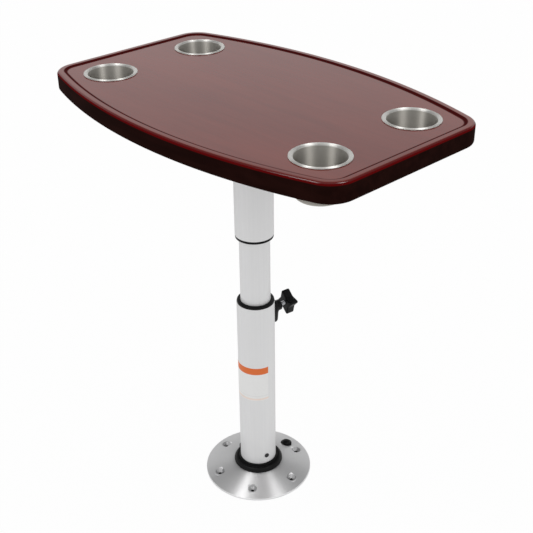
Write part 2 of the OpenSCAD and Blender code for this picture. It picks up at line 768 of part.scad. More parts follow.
// Domed button: a skirt cut along the flange's slope, and a slanted blade that moves the bolt
module release_button() {
    shoulder = button_top - button_dome_h - 0.6;
    dome_r = button_r - button_rim;
    color([0.08, 0.08, 0.08]) bearing(button_angle) {
        difference() {
            translate([button_reach, 0, 0]) rotate_extrude() polygon(concat(
                [[0, cap_roof], [skirt_in, cap_roof], [skirt_in, 6], [button_r, 6],
                [button_r, shoulder - 0.8], [button_r - 0.8, shoulder],
                [dome_r, shoulder + 0.6]],
                [for (i = [1:6])
                    [dome_r * cos(i * 15), shoulder + 0.6 + button_dome_h * sin(i * 15)]]));
            translate([button_reach, 0, skirt_foot]) sloped_block(-20);
        }
        blade(0, 0);
        translate([blade_x + blade_knee - bolt_mid_z - blade_t / 2, -blade_w / 2, blade_knee - eps])
            cube([blade_t, blade_w, cap_roof + eps - blade_knee + 0.3]);
    }
}

// Block 20 high that starts at z and leans with the flange's slope, to trim the skirt's end
module sloped_block(z) {
    multmatrix([[1, 0, 0, 0], [0, 1, 0, 0], [-button_slope, 0, 1, 0], [0, 0, 0, 1]])
        translate([-20, -20, z]) cube([40, 40, 20]);
}

// Slanted blade of the button, or the window around it when the gaps are given
module blade(gap_x, gap_y) {
    t = blade_t / 2 + gap_x;
    low = gap_x > 0 ? bolt_z - 1 : blade_foot;
    high = gap_x > 0 ? bolt_z + bolt_h + 1 : blade_knee;
    translate([blade_x, blade_w / 2 + gap_y, bolt_mid_z]) rotate([90, 0, 0])
        linear_extrude(blade_w + 2 * gap_y) polygon([[low - bolt_mid_z - t, low - bolt_mid_z],
            [low - bolt_mid_z + t, low - bolt_mid_z], [high - bolt_mid_z + t, high - bolt_mid_z],
            [high - bolt_mid_z - t, high - bolt_mid_z]]);
}

// Compression spring between the guide's seat and the roof of the button
module button_spring() {
    sides = 8;
    per_turn = 20;
    n = spring_turns * per_turn;
    length = cap_roof - seat_top - 2 * (spring_wire + press_gap);
    points = [for (i = [0:n], j = [0:sides - 1]) let (a = 360 * i / per_turn,
        b = 360 * j / sides, r = spring_r + spring_wire * cos(b))
        [r * cos(a), r * sin(a), length * i / n + spring_wire * sin(b)]];
    sheet = [for (i = [0:n - 1], j = [0:sides - 1]) let (k = (j + 1) % sides)
        [i * sides + j, i * sides + k, (i + 1) * sides + k, (i + 1) * sides + j]];
    color([0.6, 0.6, 0.62]) bearing(button_angle)
        translate([button_reach, 0, seat_top + spring_wire + press_gap])
            polyhedron(points, concat(sheet, [[for (j = [sides - 1:-1:0]) j],
                [for (j = [0:sides - 1]) n * sides + j]]));
}

// Bolt: a bar whose nose locks the foot plug, and a head with the slanted window
module latch_bolt() {
    color([0.65, 0.66, 0.68]) bearing(button_angle) difference() {
        union() {
            translate([bolt_nose, -bolt_w / 2, bolt_z])
                cube([head_start + 1 - bolt_nose, bolt_w, bolt_h]);
            translate([head_start, -head_w / 2, bolt_z])
                cube([head_end - head_start, head_w, bolt_h]);
        }
        blade(0.4, 0.3);
    }
}

// Moulded guide under the flange: channel for the bolt, seat for the spring, screw holes
module latch_guide() {
    roof_in = guide_start - 6;
    color([0.12, 0.12, 0.12]) difference() {
        bearing(button_angle) translate([guide_start, -guide_w / 2, guide_foot_z])
            cube([guide_end - guide_start, guide_w, seat_top - guide_foot_z]);
        rotate_extrude() polygon(concat([for (i = [0:dome_steps])
            let (r = roof_in + (foot_rim - roof_in) * i / dome_steps)
            [r, dome(r) - flange_wall - 0.2]], [[foot_rim, 30], [roof_in, 30]]));
        bearing(button_angle) {
            translate([guide_start - 1, -bolt_w / 2 - free_gap, bolt_z - free_gap])
                cube([head_start - guide_start + 2, bolt_w + 2 * free_gap, bolt_h + 2 * free_gap]);
            translate([head_start - free_gap, -head_w / 2 - free_gap, bolt_z - free_gap])
                cube([head_end - head_start + button_travel + 2 * free_gap,
                    head_w + 2 * free_gap, bolt_h + 2 * free_gap]);
            translate([blade_x - 0.4, -blade_w / 2 - free_gap, seat_z - eps])
                cube([button_travel + blade_t + 1.6, blade_w + 2 * free_gap, seat_t + 1]);
            translate([blade_x - blade_t / 2 - 1.6, -blade_w / 2 - free_gap, 0])
                cube([blade_t + 3.2, blade_w + 2 * free_gap, bolt_z]);
            skirt_clearance();
        }
        guide_screw_places() {
            cylinder(r = guide_screw_r + free_gap, h = seat_z + 5);
            translate([0, 0, guide_foot_z - eps])
                cylinder(r1 = guide_head_r + free_gap, r2 = guide_screw_r + free_gap,
                    h = guide_head_h + free_gap);
        }
    }
}

// Room that the button's skirt needs when it is pressed
module skirt_clearance() {
    low = skirt_foot - button_travel - free_gap;
    intersection() {
        translate([button_reach, 0, 0]) difference() {
            cylinder(r = button_r + free_gap, h = 20);
            translate([0, 0, -1]) cylinder(r = skirt_in - free_gap, h = 22);
        }
        translate([button_reach, 0, low]) sloped_block(0);
    }
}

module guide_screw_places() {
    bearing(button_angle) for (y = [-guide_screw_y, guide_screw_y])
        translate([guide_screw_x, y, 0]) children();
}

module guide_screws() {
    color([0.55, 0.55, 0.57]) guide_screw_places() translate([0, 0, guide_foot_z]) {
        cylinder(r1 = guide_head_r, r2 = guide_screw_r, h = guide_head_h);
        translate([0, 0, guide_head_h - 0.1])
            cylinder(r = guide_screw_r, h = dome(guide_screw_x) - flange_wall - 2.5);
    }
}

table_top();
cup_holder_1();
cup_holder_2();
cup_holder_3();
cup_holder_4();
table_bracket();
bracket_screws();
upper_sleeve();
sleeve_ring();
middle_tube();
mast_plug();
guide_bush();
lower_tube();
collar();
clamp_saddle();
clamp_insert();
clamp_pad();
clamp_stud();
clamp_knob();
foot_plug();
foot_screws();
tube_label();
base_flange();
base_bushing();
retaining_ring();
release_button();
button_spring();
latch_bolt();
latch_guide();
guide_screws();
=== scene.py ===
# Looks of a camper table on one telescopic pole, in metres and in the frame's own axes.
import json
import math
import bmesh
import bpy
import numpy as np
from mathutils import Matrix, Vector
from mathutils.geometry import tessellate_polygon


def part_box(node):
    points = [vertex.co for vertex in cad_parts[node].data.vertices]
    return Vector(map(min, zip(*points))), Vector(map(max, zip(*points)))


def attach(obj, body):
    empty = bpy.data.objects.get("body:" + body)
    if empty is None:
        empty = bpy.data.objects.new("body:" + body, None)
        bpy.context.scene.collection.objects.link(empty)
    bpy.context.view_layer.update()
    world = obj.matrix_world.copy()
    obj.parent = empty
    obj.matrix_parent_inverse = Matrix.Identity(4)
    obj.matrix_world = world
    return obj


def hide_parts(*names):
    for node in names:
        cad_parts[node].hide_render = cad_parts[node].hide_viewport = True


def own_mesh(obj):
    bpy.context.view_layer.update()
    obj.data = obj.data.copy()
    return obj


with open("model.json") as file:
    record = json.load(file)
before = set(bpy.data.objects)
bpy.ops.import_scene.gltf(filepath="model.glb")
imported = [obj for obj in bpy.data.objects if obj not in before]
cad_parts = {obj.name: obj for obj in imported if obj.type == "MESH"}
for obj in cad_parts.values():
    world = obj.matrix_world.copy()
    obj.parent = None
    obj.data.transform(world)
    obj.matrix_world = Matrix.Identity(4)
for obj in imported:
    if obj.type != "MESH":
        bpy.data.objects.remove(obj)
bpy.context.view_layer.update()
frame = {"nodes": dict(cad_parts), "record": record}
scene = bpy.context.scene
scene.view_settings.view_transform = "Standard"
print("frame loaded with", len(frame["nodes"]), "nodes")

# Meshes

def corners(node):
    # Lowest and highest corner of a node at rest
    low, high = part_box(node)
    return np.array(low), np.array(high)


def arc(centre, radius, start, end, steps):
    # Points c + r (cos a, sin a), with a from start to end in degrees
    a = np.radians(np.linspace(start, end, steps + 1))
    return np.stack([centre[0] + radius * np.cos(a), centre[1] + radius * np.sin(a)], axis=1)


def roundCorners(points, reach, steps=4, closed=True):
    # Each corner p becomes the curve (1-u)^2 a + 2u(1-u) p + u^2 b, with a and b at reach from p
    p = np.asarray(points, float)
    before, after = np.roll(p, 1, axis=0) - p, np.roll(p, -1, axis=0) - p
    lengthA = np.linalg.norm(before, axis=1, keepdims=True)
    lengthB = np.linalg.norm(after, axis=1, keepdims=True)
    r = np.broadcast_to(np.asarray(reach, float).reshape(-1, 1), lengthA.shape)
    a = p + before / lengthA * np.minimum(r, 0.45 * lengthA)
    b = p + after / lengthB * np.minimum(r, 0.45 * lengthB)
    u = np.linspace(0, 1, steps + 1).reshape(1, -1, 1)
    curve = (1 - u) ** 2 * a[:, None] + 2 * u * (1 - u) * p[:, None] + u ** 2 * b[:, None]
    if not closed:
        curve[0], curve[-1] = p[0], p[-1]
    return curve.reshape(-1, 2)


def gridFaces(rows, columns, wrapRows, wrapColumns):
    # Quads between neighbours of a rows by columns grid, wrapped round where asked
    i = np.arange(rows if wrapRows else rows - 1)[:, None]
    j = np.arange(columns if wrapColumns else columns - 1)[None, :]
    i2, j2 = (i + 1) % rows, (j + 1) % columns
    return np.stack([i * columns + j + 0 * i2, i * columns + j2, i2 * columns + j2, i2 * columns + j],
                    axis=-1).reshape(-1, 4)


def makeMesh(name, *shells, sharpAngle=35):
    # One object from closed shells (points, faces): doubles merged, faces outward, and shaded smooth
    # but for its sharp edges
    points, faces, start = [], [], 0
    for shellPoints, shellFaces in shells:
        flat = np.asarray(shellPoints).reshape(-1, 3)
        points.append(flat)
        faces += [(np.asarray(face) + start).tolist() for face in shellFaces]
        start += len(flat)
    mesh = bpy.data.meshes.new(name)
    mesh.from_pydata(np.concatenate(points).tolist(), [], faces)
    work = bmesh.new()
    work.from_mesh(mesh)
    bmesh.ops.remove_doubles(work, verts=work.verts, dist=1e-6)
    bmesh.ops.dissolve_degenerate(work, edges=work.edges, dist=1e-7)
    bmesh.ops.recalc_face_normals(work, faces=work.faces)
    work.to_mesh(mesh)
    work.free()
    return smoothed(bpy.data.objects.new(name, mesh), sharpAngle)


def smoothed(piece, sharpAngle=35):
    mesh = piece.data
    mesh.polygons.foreach_set("use_smooth", np.ones(len(mesh.polygons), bool))
    mesh.set_sharp_from_angle(angle=math.radians(sharpAngle))
    if piece.name not in scene.collection.objects:
        scene.collection.objects.link(piece)
    return piece


def turn(section, steps, centre=(0, 0), closed=True):
    # Shell of points (r cos t + cx, r sin t + cy, z) for each (r, z) of the section and t round the circle
    t = np.linspace(0, 2 * np.pi, steps, endpoint=False)
    section = np.asarray(section, float)
    r, z = section[:, 0:1], section[:, 1:2]
    grid = np.stack([r * np.cos(t) + centre[0], r * np.sin(t) + centre[1], z + 0 * t], axis=-1)
    return grid, gridFaces(len(section), steps, closed, True)


def revolve(name, section, steps=128, centre=(0, 0), closed=True):
    return makeMesh(name, turn(section, steps, centre, closed))


def rod(low, high, r, centre=(0, 0), r2=None, steps=64):
    # Shell of a cylinder or cone between two heights, with a pole in the middle of each end
    return turn([[0, low], [r, low], [r if r2 is None else r2, high], [0, high]], steps, centre, False)


def combine(piece, operation, *tools):
    # The piece with each tool joined to it or cut from it
    for tool in tools:
        change = piece.modifiers.new(operation, "BOOLEAN")
        change.operation, change.solver, change.object = operation, "EXACT", tool
    bpy.context.view_layer.update()
    done = piece.evaluated_get(bpy.context.evaluated_depsgraph_get())
    mesh = bpy.data.meshes.new_from_object(done)
    piece.modifiers.clear()
    piece.data = mesh
    for tool in tools:
        bpy.data.objects.remove(tool)
    return smoothed(piece)


def bearing(points, angle):
    # Turns points about the pole, so that their X axis lies on that bearing in degrees
    c, s = math.cos(math.radians(angle)), math.sin(math.radians(angle))
    x, y = points[..., 0], points[..., 1]
    return np.stack([x * c - y * s, x * s + y * c, points[..., 2]], axis=-1)


def outward(shell, angle, height):
    # From (down, sideways, out) to the frame: out along the bearing and down along -Z from the height
    points, faces = shell
    swapped = np.stack([points[..., 2], points[..., 1], height - points[..., 0]], axis=-1)
    return bearing(swapped, angle), faces


# Materials

holders = [name for name in sorted(frame["nodes"]) if name.startswith("cup_holder_")]


class Wire:
    # A node's output in one material. Arithmetic on wires and numbers adds Math nodes.
    def __init__(self, tree, socket=None):
        self.tree, self.socket = tree, socket

    def node(self, kind, settings=None, sockets=None, out=0):
        # A new node of that kind: its settings first, then its sockets' values or links
        made = self.tree.nodes.new("ShaderNode" + kind)
        for name, value in (settings or {}).items():
            if name == "stops":
                for stop, (place, colour) in zip(rampStops(made, len(value)), value):
                    stop.position, stop.color = place, (*colour, 1)
            else:
                setattr(made, name, value)
        for name, value in (sockets or {}).items():
            if isinstance(value, Wire):
                self.tree.links.new(value.socket, made.inputs[name])
            else:
                made.inputs[name].default_value = value
        return Wire(self.tree, made.outputs[out])

    def math(self, operation, *values):
        return self.node("Math", {"operation": operation}, dict(enumerate(values)))

    def __add__(self, other): return self.math("ADD", self, other)
    def __radd__(self, other): return self.math("ADD", other, self)
    def __sub__(self, other): return self.math("SUBTRACT", self, other)
    def __rsub__(self, other): return self.math("SUBTRACT", other, self)
    def __mul__(self, other): return self.math("MULTIPLY", self, other)
    def __rmul__(self, other): return self.math("MULTIPLY", other, self)
    def __truediv__(self, other): return self.math("DIVIDE", self, other)
    def __pow__(self, other): return self.math("POWER", self, other)

    def step(self, low, high):
        # 0 below low, 1 above high, and smooth between
        return self.node("MapRange", {"interpolation_type": "SMOOTHSTEP"},
                         {"Value": self, "From Min": low, "From Max": high})

    def blend(self, first, second):
        # The first colour where this is 0 and the second where it is 1
        first, second = (v if isinstance(v, Wire) else (*v, 1) for v in (first, second))
        return self.node("Mix", {"data_type": "RGBA"}, {0: self, 6: first, 7: second}, out=2)

    def noise(self, place, scale, detail=3, roughness=0.5):
        return self.node("TexNoise", None, {"Vector": place, "Scale": scale, "Detail": detail,
                                            "Roughness": roughness})

    def stretched(self, place, scale):
        return self.node("Mapping", None, {"Vector": place, "Scale": scale})


def rampStops(ramp, count):
    # The ramp's stops, made to be that many
    stops = ramp.color_ramp.elements
    while len(stops) < count:
        stops.new(0.5)
    return stops


def startMaterial(name):
    # A new material's first wire, its shader and its object coordinates split into x, y and z
    material = bpy.data.materials.new(name)
    material.use_nodes = True
    wire = Wire(material.node_tree)
    place = wire.node("TexCoord", None, None, out="Object")
    split = wire.node("SeparateXYZ", None, {"Vector": place})
    axes = [Wire(wire.tree, split.socket.node.outputs[i]) for i in range(3)]
    return material, wire, place, axes


def finish(material, constants, **links):
    # Sets the shader's constant sockets and links the varying ones
    tree = material.node_tree
    shader = tree.nodes["Principled BSDF"]
    for name, value in constants.items():
        shader.inputs[name].default_value = value
    for name, wire in links.items():
        tree.links.new(wire.socket, shader.inputs[name.replace("_", " ")])
    return material


def bump(wire, height, distance, strength=1.0):
    return wire.node("Bump", None, {"Height": height, "Distance": distance, "Strength": strength})


wood = {
    "darkField": (0.112, 0.0125, 0.0085), "paleField": (0.180, 0.0265, 0.0170),
    "redEdge": (0.100, 0.0022, 0.0026), "slopeShade": (0.050, 0.0060, 0.0060),
    "shadedSide": (0.0090, 0.0024, 0.0018), "underside": (0.060, 0.022, 0.014),
    "grainLength": 2.2, "grainWidth": 34, "poreWidth": 520, "gloss": 0.11, "coat": 0.80, "sideCoat": 0.02}


def lacqueredWood():
    # Wine-red veneer under clear lacquer: faint long grain and pores along X; the sides painted nearly black
    # as shade, and a darker red painted along the lip's slope as shade
    material, wire, place, (x, y, z) = startMaterial("lacquered_veneer")
    figure = wire.noise(wire.stretched(place, (wood["grainLength"], 7, 7)), 1.4, 4, 0.55)
    grain = wire.noise(wire.stretched(place, (wood["grainLength"], wood["grainWidth"], 30)), 2.2, 8, 0.62)
    pores = wire.noise(wire.stretched(place, (14, wood["poreWidth"], 60)), 1.0, 3, 0.5)
    tone = (figure - 0.5) * 0.9 + (grain - 0.5) * 0.6 + (pores - 0.5) * 0.22 + 0.5
    field = tone.step(0.0, 1.0).blend(wood["darkField"], wood["paleField"])
    normal = wire.node("NewGeometry", None, None, out="Normal")
    split = wire.node("SeparateXYZ", None, {"Vector": normal})
    up = Wire(wire.tree, split.socket.node.outputs[2])
    # Painted shade: the sides are nearly black, with grain in them, and turn red where the edge's rounding
    # faces up, as if lit from above
    sideGrainAndShade = grain.step(0.3, 0.75).blend(wood["shadedSide"], tuple(1.7 * c for c in wood["shadedSide"]))
    rim = up.step(0.04, 0.30).blend(sideGrainAndShade, wood["redEdge"])
    colour = up.step(0.88, 0.99).blend(rim, field)
    slope = wire.node("Attribute", {"attribute_name": "slope"}, None, out="Fac")
    # Painted shade: a darker red along the lip's inner slope, reaching a little onto the flat on either side
    # of it
    colour = (slope * 0.9).blend(colour, wood["slopeShade"])
    colour = (0 - up).step(0.6, 0.9).blend(colour, wood["underside"])
    coat = up.step(0.60, 0.85) * (1 - slope) * (wood["coat"] - wood["sideCoat"]) + wood["sideCoat"]
    wave = wire.noise(place, 55, 2, 0.5)
    return finish(material, {"Roughness": 0.46, "IOR": 1.5, "Specular IOR Level": 0.0,
                             "Coat Roughness": wood["gloss"], "Coat IOR": 1.5},
                  Base_Color=colour, Coat_Weight=coat, Normal=bump(wire, wave, 0.00005))


steel = {"rim": (0.74, 0.73, 0.70), "inside": (0.52, 0.50, 0.46), "dark": (0.43, 0.41, 0.375),
         "rough": 0.52, "brush": 0.98, "rimHeight": 0.0022}


def brushedSteel():
    # Stainless steel brushed round the holder, with highlights smeared across the hairlines: a bright rolled
    # rim above that height and, below it, a brushed wall painted darker, partly as duller steel and partly
    # as painted shade inside the holder
    material, wire, place, (x, y, z) = startMaterial("brushed_stainless")
    hairlines = wire.noise(wire.stretched(place, (18, 18, 2600)), 1.0, 4, 0.7)
    cloud = wire.noise(place, 34, 3, 0.5)
    colour = (hairlines * 0.6 + cloud * 0.4).step(0.25, 0.75).blend(steel["dark"], steel["inside"])
    rim = corners(holders[0])[1][2] - steel["rimHeight"]
    # Partly painted shade: the wall below the rim is darker as shade inside the holder, against the brighter
    # rolled rim
    colour = z.step(rim - 0.0006, rim).blend(colour, steel["rim"])
    return finish(material, {"Metallic": 1.0, "Anisotropic": steel["brush"],
                             "Anisotropic Rotation": 0.25}, Base_Color=colour,
                  Roughness=hairlines * 0.10 + (steel["rough"] - 0.05),
                  Normal=bump(wire, hairlines, 0.00001))


satin = {"colour": (0.785, 0.785, 0.787), "shade": (0.745, 0.745, 0.75), "rough": 0.46, "metal": 0.32,
         "edgeTint": 0.6}


def satinTube():
    # Anodised aluminium, drawn lengthwise: faint streaks along Z and a fine satin grain
    material, wire, place, axes = startMaterial("satin_anodised")
    streaks = wire.noise(wire.stretched(place, (260, 260, 3)), 1.0, 3, 0.6)
    grain = wire.noise(place, 1400, 2, 0.5)
    colour = (streaks * 0.7 + grain * 0.3).step(0.2, 0.8).blend(satin["shade"], satin["colour"])
    tint = (satin["edgeTint"],) * 3 + (1,)
    return finish(material, {"Metallic": satin["metal"], "Specular IOR Level": 0.3, "Specular Tint": tint},
                  Base_Color=colour, Roughness=streaks * 0.10 + (satin["rough"] - 0.05),
                  Normal=bump(wire, grain, 0.00001))


base = {"edgeHeight": 0.004, "footRound": 0.0004, "power": 1.3, "wall": 0.003, "socketR": 0.04205,
        "hubWall": 0.0048, "hubFoot": 0.0018, "footRim": 0.008, "rimRound": 0.0010, "boltCircle": 0.0804,
        "boltBearing": 9.1, "bolts": 6, "boltHole": 0.00275, "sinkR": 0.00875, "bossWall": 0.0015,
        "drill": (-0.001, 0.02), "overcut": 0.002}
turned = {"colour": (0.80, 0.80, 0.805), "shade": (0.73, 0.73, 0.735), "sink": (0.46, 0.46, 0.465),
          "bore": (0.02, 0.02, 0.02), "rough": 0.42, "pitch": 0.0006, "brush": 0.90}


def turnedBase():
    # Turned aluminium: rings of tool marks at a fixed pitch, on a slow change of tone, with the sinks
    # painted grey and the bores painted nearly black as shade.
    # The distance to the nearest sink comes from the bearing folded into one bolt's share of the circle.
    material, wire, place, (x, y, z) = startMaterial("turned_aluminium")
    radius = (x * x + y * y) ** 0.5
    rings = wire.math("SINE", radius * (2 * math.pi / turned["pitch"])) * 0.5 + 0.5
    bands = wire.noise(wire.node("CombineXYZ", None, {"X": radius * 900, "Y": 0.0, "Z": 0.0}), 1.0, 4, 0.7)
    cloud = wire.noise(place, 22, 3, 0.6)
    tone = (bands * 0.6 + cloud * 0.4).step(0.25, 0.75)
    colour = tone.blend(turned["shade"], turned["colour"])
    share = 2 * math.pi / base["bolts"]
    turnedBy = wire.math("ARCTAN2", y, x) - math.radians(base["boltBearing"])
    bearingInShare = wire.math("WRAP", turnedBy, share / 2, -share / 2)
    along = radius * wire.math("COSINE", bearingInShare) - base["boltCircle"]
    across = radius * wire.math("SINE", bearingInShare)
    fromHole = (along * along + across * across) ** 0.5
    # Painted shade: each countersink is darkened and each bore is made nearly black
    sinkShade = 1 - fromHole.step(base["sinkR"] - 0.0004, base["sinkR"])
    boreShade = 1 - fromHole.step(base["boltHole"], base["boltHole"] + 0.0003)
    colour = boreShade.blend(sinkShade.blend(colour, turned["sink"]), turned["bore"])
    return finish(material, {"Metallic": 1.0, "Anisotropic": turned["brush"],
                             "Anisotropic Rotation": 0.25}, Base_Color=colour,
                  Roughness=bands * 0.10 + (turned["rough"] - 0.05),
                  Normal=bump(wire, rings * 0.4 + bands, 0.00001))


def castMetal(name, pale, dark, grainScale, rough, height):
    # Cast or plated metal: a grainy skin with soft darker patches
    material, wire, place, axes = startMaterial(name)
    grain = wire.noise(place, grainScale, 4, 0.6)
    patches = wire.noise(place, 40, 3, 0.5)
    colour = (grain * 0.4 + patches * 0.6).step(0.3, 0.7).blend(dark, pale)
    return finish(material, {"Metallic": 1.0}, Base_Color=colour, Roughness=grain * 0.2 + (rough - 0.1),
                  Normal=bump(wire, grain, height))


def mouldedPlastic(name, pale, dark, rough, height, shine):
    # Moulded plastic: a fine spark-eroded grain and faint changes of tone
    material, wire, place, axes = startMaterial(name)
    grain = wire.noise(place, 1800, 3, 0.6)
    patches = wire.noise(place, 60, 2, 0.5)
    colour = (grain * 0.5 + patches * 0.5).step(0.3, 0.7).blend(dark, pale)
    return finish(material, {"IOR": 1.49, "Specular IOR Level": shine}, Base_Color=colour,
                  Roughness=grain * 0.16 + (rough - 0.08), Normal=bump(wire, grain, height))


label = {"paper": (0.86, 0.86, 0.85), "tint": (0.81, 0.81, 0.805), "orange": (0.74, 0.165, 0.040),
         "faint": (0.86, 0.60, 0.46), "rule": (0.50, 0.50, 0.50), "bandTop": 0.0005, "bandFoot": 0.0145,
         "ruleHeight": 0.0099, "ruleWidth": 0.0004, "stripFoot": 0.0010, "stripTop": 0.0050}


def labelFilm():
    # Plain film with an orange stripe along its top, a hairline and a faint strip near its foot
    material, wire, place, (x, y, z) = startMaterial("label_film")
    low, high = corners("tube_label")
    fromTop, fromFoot = high[2] - z, z - low[2]
    mottle = wire.noise(place, 300, 3, 0.6)
    paper = mottle.blend(label["tint"], label["paper"])
    edge = 0.00015

    def between(value, first, last):
        return value.step(first - edge, first + edge) * (1 - value.step(last - edge, last + edge))

    half = label["ruleWidth"] / 2
    band = between(fromTop, label["bandTop"], label["bandFoot"])
    rule = between(fromFoot, label["ruleHeight"] - half, label["ruleHeight"] + half)
    strip = between(fromFoot, label["stripFoot"], label["stripTop"])
    colour = (strip * 0.45).blend(paper, label["faint"])
    colour = (rule * 0.55).blend(colour, label["rule"])
    colour = band.blend(colour, label["orange"])
    return finish(material, {"IOR": 1.45, "Specular IOR Level": 0.3}, Base_Color=colour,
                  Roughness=mottle * 0.1 + 0.40, Normal=bump(wire, mottle, 0.000004))


materials = {
    "lacquered_top": lacqueredWood(), "holder_steel": brushedSteel(), "tube_satin": satinTube(),
    "base_turned": turnedBase(), "label_film": labelFilm(),
    "cast_grey": castMetal("cast_aluminium", (0.50, 0.51, 0.52), (0.38, 0.385, 0.39), 900, 0.48, 0.00006),
    "plated_steel": castMetal("plated_steel", (0.60, 0.61, 0.63), (0.46, 0.47, 0.49), 500, 0.30, 0.00001),
    # Painted shade: a darkened metal for the foot screws, standing in for the shade in their cross recesses
    "screw_shade_dark": castMetal("dark_screw_shade", (0.12, 0.12, 0.125), (0.03, 0.03, 0.03), 900, 0.40, 0.00001),
    "insert_brass": castMetal("brass", (0.70, 0.50, 0.22), (0.56, 0.38, 0.15), 500, 0.28, 0.00001),
    "black_plastic": mouldedPlastic("black_plastic", (0.0070, 0.0070, 0.0074), (0.0040, 0.0040, 0.0043),
                                    0.38, 0.00002, 0.11),
    "pale_plastic": mouldedPlastic("slide_plastic", (0.72, 0.71, 0.67), (0.62, 0.61, 0.57),
                                   0.45, 0.00002, 0.4)}
slotOf = {part["node"]: part["material_slot"] for part in frame["record"]["subparts"]}
bodyOf = {node: body for body, nodes in frame["record"]["behaviour"]["bodies"].items() for node in nodes}
# Every node takes the finish of its slot, but for the foot screws, whose metal is painted dark as the shade
# of their cross recesses
for node, piece in frame["nodes"].items():
    piece.data.materials.clear()
    piece.data.materials.append(materials["screw_shade_dark" if node == "foot_screws" else slotOf[node]])
print("materials ready:", len(materials))


def place(piece, node):
    # The piece stands for the node: it takes the node's body and finish
    piece.data.materials.clear()
    piece.data.materials.append(materials[slotOf[node]])
    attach(piece, bodyOf[node])
    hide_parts(node)
    return piece


# Table top

board = {"sideBow": 0.059, "cornerRadius": 0.045, "lipHeight": 0.0023, "lipWidth": 0.0115,
         "lipSlope": 0.0045, "edgeRound": 0.005, "holeGap": 0.0015, "flangeLap": 0.0045,
         "cornerSteps": 32, "sideSteps": 64, "roundSteps": 10, "slopeSteps": 12, "holeSteps": 96,
         "redBefore": 0.0008, "redAfter": 0.0022}


def planRing(inset):
    # Outline of the top moved inward: corner arcs of radius r - inset joined by bowed sides
    low, high = corners("table_top")
    halfL, halfW = high[0], high[1]
    bow, r = board["sideBow"], board["cornerRadius"]
    sideR = (halfL ** 2 + bow ** 2) / (2 * bow)
    sideY = halfW - sideR
    cornerX = halfL - r
    cornerY = sideY + math.sqrt((sideR - r) ** 2 - cornerX ** 2)
    swing = math.degrees(math.atan2(cornerY - sideY, cornerX))
    corner = arc((cornerX, cornerY), r - inset, 0, swing, board["cornerSteps"])
    side = arc((0, sideY), sideR - inset, swing, 180 - swing, board["sideSteps"])[1:-1]
    half = np.concatenate([corner, side, corner[::-1] * (-1, 1)])
    return np.concatenate([half, half[::-1] * (1, -1)])


def tableTop():
    # The edge's section (inset, height) carried round the plan, with flat faces pierced by four holes.
    # The attribute, which places the painted shade and the thinner coat on the lip's slope, is 6 s (1 - s),
    # at most 1, with s going from 0 to 1 across the lip's slope and its margins.
    low, high = corners("table_top")
    under, lip = low[2], high[2]
    e, drop = board["edgeRound"], board["lipHeight"]
    t = np.linspace(0, 1, board["slopeSteps"] + 1)
    slope = np.stack([board["lipWidth"] + board["lipSlope"] * t, lip - drop * t * t * (3 - 2 * t)], axis=1)
    # The painted shade line along the slope also spans redBefore ahead of it and redAfter behind it
    before = [[board["lipWidth"] - board["redBefore"], lip]]
    after = [[slope[-1, 0] + board["redAfter"] * k, lip - drop] for k in (0.33, 0.67, 1)]
    section = np.concatenate([arc((e, under + e), e, -90, -180, board["roundSteps"]),
                              arc((e, lip - e), e, 180, 90, board["roundSteps"]), before, slope, after])
    rings = np.stack([np.column_stack([planRing(u), np.full(len(planRing(u)), z)]) for u, z in section])
    rows, columns = rings.shape[:2]
    faces = [gridFaces(rows, columns, False, True)]
    circles = []
    for name in holders:
        a, b = corners(name)
        holeR = (b[0] - a[0]) / 2 - board["flangeLap"] - board["holeGap"] / 2
        circles.append(arc(((a + b) / 2)[:2], holeR, 0, 360, board["holeSteps"])[:-1])
    points = [rings.reshape(-1, 3)]
    start = rows * columns
    for z, ring, first in ((under, rings[0], 0), (lip - drop, rings[-1], (rows - 1) * columns)):
        loops = [ring] + [np.column_stack([c, np.full(len(c), z)]) for c in circles]
        flat = tessellate_polygon([[Vector(p) for p in loop] for loop in loops])
        index = np.concatenate([first + np.arange(columns), start + np.arange(sum(map(len, circles)))])
        faces.append(index[np.array(flat)])
        points.append(np.concatenate(loops[1:]))
        start += len(points[-1])
    lower = rows * columns
    upper = lower + len(points[1])
    for k, circle in enumerate(circles):
        i = k * len(circle) + np.arange(len(circle))
        j = k * len(circle) + (np.arange(len(circle)) + 1) % len(circle)
        faces.append(np.stack([lower + i, lower + j, upper + j, upper + i], axis=1))
    piece = makeMesh("top_board", (np.concatenate(points), [f for group in faces for f in group]))
    share = np.clip((section[:, 0] - before[0][0]) / (after[-1][0] - before[0][0]), 0, 1)
    steep = np.repeat(np.clip(6 * share * (1 - share), 0, 1), columns).astype(np.float32)
    steep = np.concatenate([steep, np.zeros(len(piece.data.vertices) - rows * columns, np.float32)])
    piece.data.attributes.new("slope", "FLOAT", "POINT").data.foreach_set("value", steep)
    return piece


place(tableTop(), "table_top")
print("table top ready")


# Drink holders

cup = {"mouth": 0.0384, "taper": 0.002, "gauge": 0.0008, "bead": 0.0017, "bend": 0.0020,
       "bottomRound": 0.005, "steps": 144}


